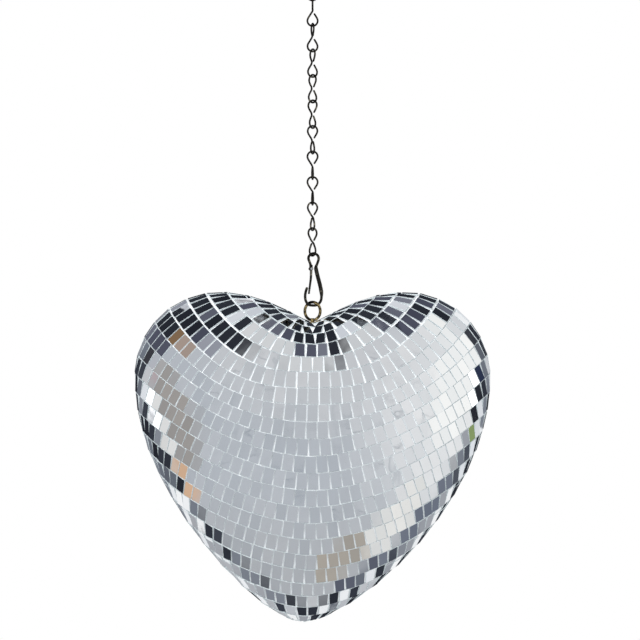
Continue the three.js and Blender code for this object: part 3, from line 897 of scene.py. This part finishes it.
def wire(name, path, radius, thickness, sides):
    """A round wire along a path in millimetres. thickness gives each point's share of the radius."""
    curve = bpy.data.curves.new(name, "CURVE")
    curve.dimensions = "3D"
    curve.bevel_depth = radius * MM
    curve.bevel_resolution = sides
    curve.use_fill_caps = True
    spline = curve.splines.new("POLY")
    spline.points.add(len(path) - 1)
    for point, place, share in zip(spline.points, path, thickness):
        point.co = (*(place * MM), 1)
        point.radius = share
    obj = bpy.data.objects.new(name, curve)
    bpy.context.collection.objects.link(obj)
    pick(obj)
    bpy.ops.object.convert(target="MESH")
    obj = bpy.context.object
    edit_mode(obj)
    bpy.ops.mesh.select_all(action="SELECT")
    bpy.ops.mesh.remove_doubles(threshold=0.00001)
    bpy.ops.mesh.normals_make_consistent(inside=False)
    object_mode()
    smooth(obj, 50)
    return obj


def rounded_ends(path, bluntness):
    """Shares of the radius along a path, drawn in at its first and last points."""
    shares = np.ones(len(path))
    shares[0] = shares[-1] = bluntness
    shares[1] = shares[-2] = 0.85
    return shares


def move(obj, place, turn):
    """Turn the piece about +Z, move it by millimetres and apply both."""
    obj.rotation_euler.z = turn
    obj.location = Vector(place) * MM
    settle(obj)


# ---------------------------------------------------------------- chain

LINK_PITCH = 21.95
LINK_WIRE_R = 0.83
LINK_LOOP_R = 4.42
FIRST_TWIST = 76
LINK_TWIST = 14
LINKS = 11


def link_path():
    """A figure of eight, open at the waist, its lower loop at right angles to the upper one."""
    loop_z = LINK_PITCH / 2 + LINK_WIRE_R + WIRE_PLAY - LINK_LOOP_R
    side = [(1.3, 0, 1.2), (2.75, 0, 3.5), (3.95, 0, 5.6)]
    upper = [(-x, y, z) for x, y, z in side] + arc(0, loop_z, LINK_LOOP_R, 180, 0) + side[::-1]
    lower = [(0, -x, -z) for x, y, z in upper]
    return smooth_path(upper + lower, 7)


def build_chain(steel):
    """The links, each turned a little further than the one above."""
    path = link_path()
    pattern = wire("link_pattern", path, LINK_WIRE_R, rounded_ends(path, 0.8), 4)
    for k in range(LINKS):
        name = f"chain_link_{k + 1:02d}"
        low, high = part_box(name)
        link = pattern.copy()
        link.data = pattern.data.copy()
        bpy.context.collection.objects.link(link)
        move(link, (0, 0, (low.z + high.z) / 2 / MM), math.radians(FIRST_TWIST + LINK_TWIST * k))
        finish_piece(link, f"jack_chain_link_{k + 1:02d}", steel, f"link_{k + 1:02d}",
                     "dark_steel_wire", name)
    bpy.data.objects.remove(pattern)


# ---------------------------------------------------------------- snap hook

HOOK_YAW = math.radians(12)
HOOK_LENGTH = 42.15
HOOK_WIRE_R = 1.15
HOOK_SPINE_R = 1.75
HOOK_LOOP_R = 4.5
EAR_R = 1.6
EAR_THICK = 0.9
EAR_Y = 2.05
RIVET_R = 0.6
RIVET_HEAD_R = 1.05
RIVET_HEAD_Y = 2.7
GATE_PIVOT = (-1.5, -11.95)
GATE_WIDTH = 2.6
GATE_THICK = 0.5
GATE_FLANGE = 1.5


def add_box(size, place, bevel):
    deselect_all()
    bpy.ops.mesh.primitive_cube_add(size=1, location=Vector(place) * MM, scale=Vector(size) * MM)
    box = bpy.context.object
    settle(box)
    round_edges(box, bevel)
    return box


def round_edges(obj, width, segments=2):
    bevel = obj.modifiers.new("edges", "BEVEL")
    bevel.width = width * MM
    bevel.segments = segments
    bevel.limit_method = "ANGLE"
    apply_modifiers(obj)


def add_rod(radius, length, place, axis, vertices, bevel=0.0):
    """A cylinder along Y or Z, its rims rounded if a bevel is given."""
    turn = (math.pi / 2, 0, 0) if axis == "Y" else (0, 0, 0)
    deselect_all()
    bpy.ops.mesh.primitive_cylinder_add(vertices=vertices, radius=radius * MM, depth=length * MM,
                                        location=Vector(place) * MM, rotation=turn)
    rod = bpy.context.object
    settle(rod)
    if bevel:
        round_edges(rod, bevel)
    return rod


def cut(obj, cutter):
    """Take the cutter's shape out of the piece."""
    boolean = obj.modifiers.new("cut", "BOOLEAN")
    boolean.operation = "DIFFERENCE"
    boolean.solver = "EXACT"
    boolean.object = cutter
    apply_modifiers(obj)
    bpy.data.objects.remove(cutter)


def hook_path():
    """The body's wire, from the gate's ears over the chain loop and down round the bow."""
    bow = -HOOK_LENGTH - HOOK_WIRE_R - WIRE_PLAY
    points = [(-1.4, 0, -9.6), (-2.4, 0, -6.6)]
    points += arc(0.9, HOOK_WIRE_R + WIRE_PLAY - HOOK_LOOP_R, HOOK_LOOP_R, 180, 0)
    points += [(4.3, 0, -7), (3, 0, -10.4), (3.4, 0, -13.8), (5, 0, -20.2), (6.9, 0, -27.5),
               (7.9, 0, -34.5), (7.1, 0, -39.8), (4.2, 0, -42.9), (0, 0, bow), (-3.8, 0, -42.6),
               (-6, 0, -39.2), (-6.5, 0, -35.4), (-5.9, 0, -31.5), (-4.65, 0, -27.8)]
    return smooth_path(points, 8)


def hook_shares(path):
    """The body's thickness along its path: a thick spine on the right and a blunt tip."""
    x, z = path[:, 0], path[:, 2]
    spine = np.clip((-z - 8.4) / 4, 0, 1) * np.clip((z + 37) / 6, 0, 1)
    swell = np.where(x > 2.5, spine, 0)
    shares = 1 + (HOOK_SPINE_R / HOOK_WIRE_R - 1) * swell * swell * (3 - 2 * swell)
    shares[-1] = 0.45
    shares[-2] = 0.85
    return shares


def build_hook(steel, zinc):
    """The body with two ears for the gate, the gate, and the rivet that it turns on."""
    pivot_x, pivot_z = GATE_PIVOT
    path = hook_path()
    parts = [wire("snap_hook", path, HOOK_WIRE_R, hook_shares(path), 5)]
    parts.append(add_box((2.2, 5, 1.6), (pivot_x + 0.1, 0, pivot_z + 2.65), 0.35))
    for y in (-EAR_Y, EAR_Y):
        parts.append(add_rod(EAR_R, EAR_THICK, (pivot_x, y, pivot_z), "Y", 28, 0.15))
        parts.append(add_box((2.1, EAR_THICK, 2.6), (pivot_x + 0.1, y, pivot_z + 1.3), 0.15))
    body = join("snap_hook_wire", parts)
    smooth(body, 35)
    place = (0, 0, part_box("snap_hook_body")[1].z / MM - 2 * HOOK_WIRE_R - WIRE_PLAY)
    move(body, place, HOOK_YAW)
    finish_piece(body, "snap_hook_wire", steel, "snap_hook", "dark_steel_wire", "snap_hook_body")

    gate = model_gate()
    move(gate, place, HOOK_YAW)
    finish_piece(gate, "snap_hook_sprung_gate", steel, "gate", "dark_steel_wire", "snap_hook_gate")

    pin = add_rod(RIVET_R, 2 * RIVET_HEAD_Y, (pivot_x, 0, pivot_z), "Y", 20)
    heads = [add_rod(RIVET_HEAD_R, 0.5, (pivot_x, y, pivot_z), "Y", 24, 0.2)
             for y in (-RIVET_HEAD_Y, RIVET_HEAD_Y)]
    pin = join("gate_rivet", [pin] + heads)
    smooth(pin, 40)
    move(pin, place, HOOK_YAW)
    finish_piece(pin, "gate_rivet", zinc, "snap_hook", "zinc_plated_steel", "snap_hook_gate_pin")


def model_gate():
    """A folded channel with an eye for the pin at its head, its free end inside the bow's tip."""
    pivot_x, pivot_z = GATE_PIVOT
    points = [(pivot_x, 0, pivot_z - 1), (-1.7, 0, -19.9), (-2.45, 0, -26.5), (-3.3, 0, -33.6)]
    line = smooth_path(points, 6)
    deselect_all()
    bpy.ops.mesh.primitive_grid_add(x_subdivisions=3, y_subdivisions=len(line) - 1, size=1)
    strip = bpy.context.object
    rows = sorted({round(v.co.y, 4) for v in strip.data.vertices}, reverse=True)
    columns = sorted({round(v.co.x, 4) for v in strip.data.vertices})
    section = [(GATE_FLANGE, -1), (0, -1), (0, 1), (GATE_FLANGE, 1)]
    for vertex in strip.data.vertices:
        step = rows.index(round(vertex.co.y, 4))
        flange, side = section[columns.index(round(vertex.co.x, 4))]
        x, _, z = line[step]
        narrow = 1 - 0.3 * step / (len(line) - 1)
        vertex.co = ((x - 0.35 + flange * narrow) * MM, side * narrow * GATE_WIDTH / 2 * MM, z * MM)
    thicken = strip.modifiers.new("sheet", "SOLIDIFY")
    thicken.thickness = GATE_THICK * MM
    thicken.offset = 0
    thicken.use_even_offset = True
    round_edges(strip, 0.12)
    face_outward(strip)
    knuckle = add_rod(1.5, GATE_WIDTH, (pivot_x, 0, pivot_z), "Y", 32, 0.12)
    gate = join("gate", [strip, knuckle])
    cut(gate, add_rod(0.75, 12, (pivot_x, 0, pivot_z), "Y", 20))
    smooth(gate, 35)
    return gate


# ---------------------------------------------------------------- screw eye

EYE_RING_R = 7.8
EYE_WIRE_R = 1.25
EYE_YAW = math.radians(-32)
EYE_STAND_OFF = 1.2
EYE_START = -78
EYE_END = 262
SHANK_R = 2.0
SHANK_END = -20.0
COLLAR_R = 3.6
COLLAR_FOOT = -5.9
THREAD_PITCH = 1.4
THREAD_DEPTH = 0.35


def build_eye(brass):
    """Wire bent to a ring over a collar, with a threaded shank into the core."""
    centre = EYE_RING_R + EYE_STAND_OFF
    angles = [math.radians(a) for a in np.linspace(EYE_START, EYE_END, 60)]
    path = np.array([(EYE_RING_R * math.cos(a), 0, centre + EYE_RING_R * math.sin(a)) for a in angles])
    ring = wire("eye_ring", path, EYE_WIRE_R, rounded_ends(path, 0.6), 5)
    collar = add_rod(COLLAR_R, -COLLAR_FOOT, (0, 0, COLLAR_FOOT / 2), "Z", 48, 0.45)
    neck = add_rod(SHANK_R * 0.86, EYE_STAND_OFF + 2.6, (0, 0, (EYE_STAND_OFF + 1) / 2), "Z", 32, 0.3)
    shank = model_thread()
    eye = join("screw_eye_wire", [ring, collar, neck, shank])
    smooth(eye, 40)
    move(eye, (0, 0, CLEFT_Z), EYE_YAW)
    finish_piece(eye, "screw_eye_wire", brass, "heart", "brass_plated_steel", "screw_eye")


def model_thread():
    """The shank: a cylinder in rings, drawn in along a helix, with a blunt point."""
    length = COLLAR_FOOT - SHANK_END + 0.5
    rings = 84
    shank = add_rod(SHANK_R, length, (0, 0, SHANK_END + length / 2), "Z", 24)
    bm = edit_mode(shank)
    for edge in bm.edges:
        a, b = (v.co for v in edge.verts)
        edge.select = abs(a.z - b.z) > length * MM / 2
    bmesh.update_edit_mesh(shank.data)
    bpy.ops.mesh.subdivide(number_cuts=rings)
    object_mode()
    for vertex in shank.data.vertices:
        x, y, z = vertex.co / MM
        turn = math.atan2(y, x) / (2 * math.pi)
        wave = abs(((z / THREAD_PITCH - turn) % 1) * 2 - 1)
        radius = SHANK_R - THREAD_DEPTH * wave
        radius *= min(1, 0.55 + (z - SHANK_END) / 3)
        vertex.co.x = radius * math.cos(2 * math.pi * turn) * MM
        vertex.co.y = radius * math.sin(2 * math.pi * turn) * MM
    return shank


# ---------------------------------------------------------------- ceiling plate and hook

PLATE_R = 27
PLATE_T = 3
BOSS_R = 6
BOSS_DROP = 2.5
PLATE_HOLE_R = 2.25
PLATE_HOLE_X = 18
PLATE_SINK = 2.4
CEILING_WIRE_R = 2.0
CEILING_BEND_R = 9.0


def build_plate(zinc):
    """A turned plate with a boss for the hook's shank and two countersunk holes."""
    plate = add_rod(PLATE_R, PLATE_T, (0, 0, -PLATE_T / 2), "Z", 96)
    bm = edit_mode(plate)
    for face in bm.faces:
        face.select = face.normal.z < -0.99
    bmesh.update_edit_mesh(plate.data)
    bpy.ops.mesh.inset(thickness=(PLATE_R - BOSS_R - 1) * MM)
    bpy.ops.mesh.extrude_region_move(TRANSFORM_OT_translate={"value": (0, 0, -BOSS_DROP * MM)})
    bpy.ops.transform.resize(value=(BOSS_R / (BOSS_R + 1), BOSS_R / (BOSS_R + 1), 1))
    object_mode()
    round_edges(plate, 0.7, 3)
    for x in (-PLATE_HOLE_X, PLATE_HOLE_X):
        cut(plate, add_rod(PLATE_HOLE_R, 12, (x, 0, 0), "Z", 40))
        deselect_all()
        bpy.ops.mesh.primitive_cone_add(vertices=40, radius1=(PLATE_HOLE_R + PLATE_SINK) * MM,
                                        radius2=PLATE_HOLE_R * MM, depth=PLATE_SINK * MM,
                                        location=(x * MM, 0, -(PLATE_T - 0.6) * MM))
        sink = bpy.context.object
        settle(sink)
        cut(plate, sink)
    cut(plate, add_rod(CEILING_WIRE_R + 0.25, 10, (0, 0, -6.2), "Z", 40))
    smooth(plate, 35)
    finish_piece(plate, "ceiling_rose", zinc, "ceiling_mount", "zinc_plated_steel", "ceiling_plate")


def build_ceiling_hook(zinc):
    """An open hook, its shank up in the plate's boss."""
    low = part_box("ceiling_hook")[0].z / MM
    centre = low + CEILING_WIRE_R + CEILING_BEND_R
    points = [(0, 0, -1.3), (0, 0, -4), (0, 0, -7.5), (1.2, 0, -10.4)]
    points += arc(0, centre, CEILING_BEND_R, 60, -210)
    path = smooth_path(points, 7)
    hook = wire("ceiling_hook_wire", path, CEILING_WIRE_R, rounded_ends(path, 0.4), 6)
    finish_piece(hook, "ceiling_hook_wire", zinc, "ceiling_mount", "zinc_plated_steel", "ceiling_hook")


# ---------------------------------------------------------------- the whole object

def paint_frame_pieces(plastic, zinc):
    """The pieces kept as they are: the core, its joining band, and the eye's washer and nut."""
    finishes = {"core_front_shell": plastic, "core_rear_shell": plastic, "joining_band": plastic,
                "eye_washer": zinc, "eye_lock_nut": zinc}
    for name, material in finishes.items():
        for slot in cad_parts[name].material_slots:
            slot.material = material


make_camera()
make_world()
make_lights()
make_floor()

film = make_film_group()
wear_and_highlight = make_wear_and_highlight_group()
mirror = mirror_material(film)
glass_edge = glass_edge_material(wear_and_highlight)
bed = bed_material(film)
plastic = shell_material(film)
# The bright patches on the dark steel and the brass are painted highlights; those on the zinc are worn
# plating.
steel = metal_material("dark_steel", wear_and_highlight, fresh_and_highlight=(0.62, 0.56, 0.42), dull=(0.030, 0.028, 0.024),
                       smooth=0.16, rough=0.34, scale=240.0, share=0.24)
zinc = metal_material("zinc_plate", wear_and_highlight, fresh_and_highlight=(0.64, 0.65, 0.66), dull=(0.50, 0.505, 0.51),
                      smooth=0.24, rough=0.38, scale=420.0)
brass = metal_material("brassed_steel", wear_and_highlight, fresh_and_highlight=(0.80, 0.60, 0.27), dull=(0.026, 0.022, 0.016),
                       smooth=0.14, rough=0.32, scale=150.0, share=0.31)

tile = model_tile()
for row in range(ROWS):
    build_row(row, tile, (mirror, glass_edge, bed))
build_chain(steel)
build_hook(steel, zinc)
build_eye(brass)
build_plate(zinc)
build_ceiling_hook(zinc)
paint_frame_pieces(plastic, zinc)
